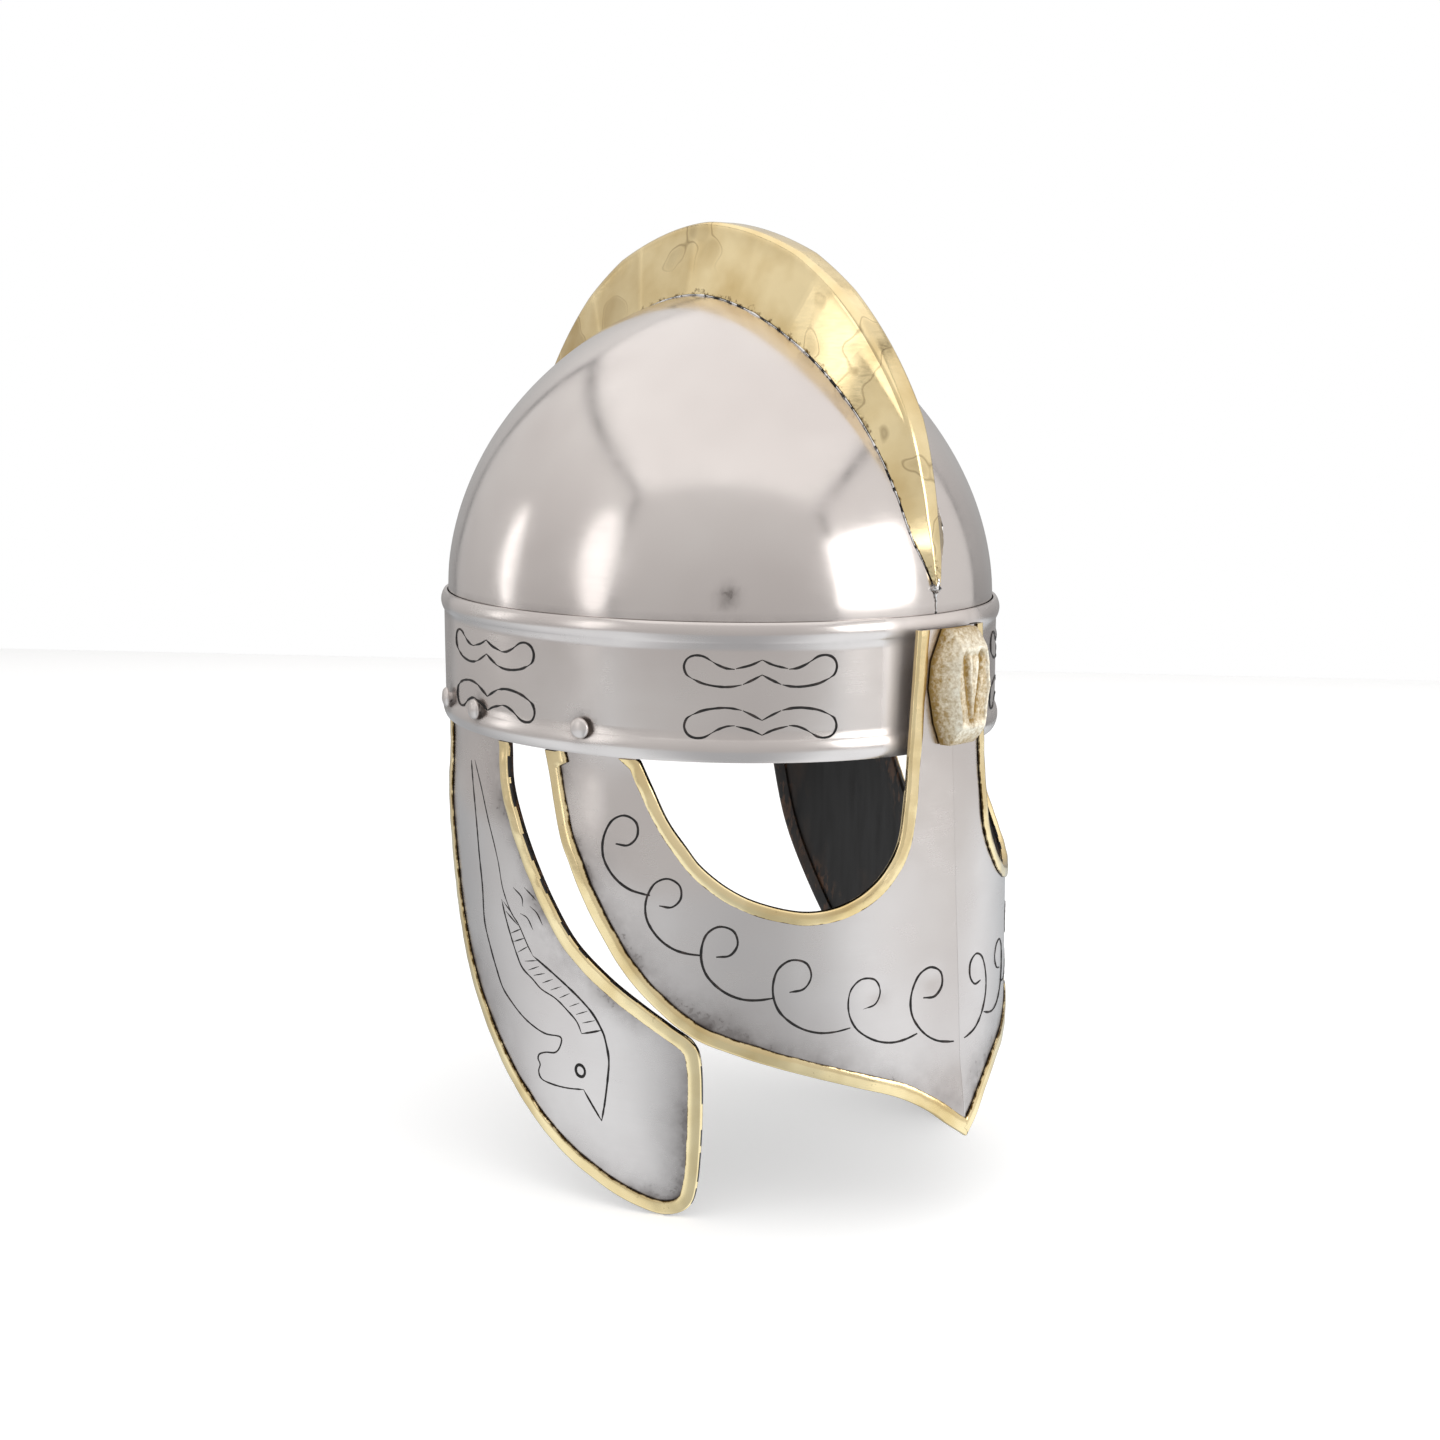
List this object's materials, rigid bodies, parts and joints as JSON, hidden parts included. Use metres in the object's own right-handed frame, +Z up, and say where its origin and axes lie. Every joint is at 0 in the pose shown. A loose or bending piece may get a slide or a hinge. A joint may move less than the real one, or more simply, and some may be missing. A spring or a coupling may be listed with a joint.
{
  "type": "steel helmet",
  "caption": "Open-faced steel helmet: tall bowl in a brow band, brass fin crest, face mask with eye openings, boss on the brow and two riveted cheek plates with brass edging.",
  "frame": {"origin": "middle of the oval rim, level with the brow band's lower edge", "axes": "-Y forward out of the face, +X to the wearer's left, +Z up through the crown"},
  "size_m": [0.2046, 0.2483, 0.36],
  "materials": {
    "steel": "satin polished, engraved",
    "rivet_steel": "hammered round heads",
    "brass": "brushed lengthwise",
    "cast_brass": "rough cast, darkened in the grooves"
  },
  "bodies": {
    "root": {"skull": "steel", "brow_band": "steel", "crest": "brass", "face_mask": "steel", "mask_edging_right": "brass", "mask_edging_left": "brass", "eye_edging_right": "brass", "eye_edging_left": "brass", "brow_boss": "cast_brass", "cheek_plate_right": "steel", "cheek_plate_left": "steel", "cheek_edging_right": "brass", "cheek_edging_left": "brass", "cheek_rivet_right_rear": "rivet_steel", "cheek_rivet_right_front": "rivet_steel", "cheek_rivet_left_rear": "rivet_steel", "cheek_rivet_left_front": "rivet_steel", "mask_rivet_right": "rivet_steel", "mask_rivet_left": "rivet_steel"}
  },
  "joints": []
}
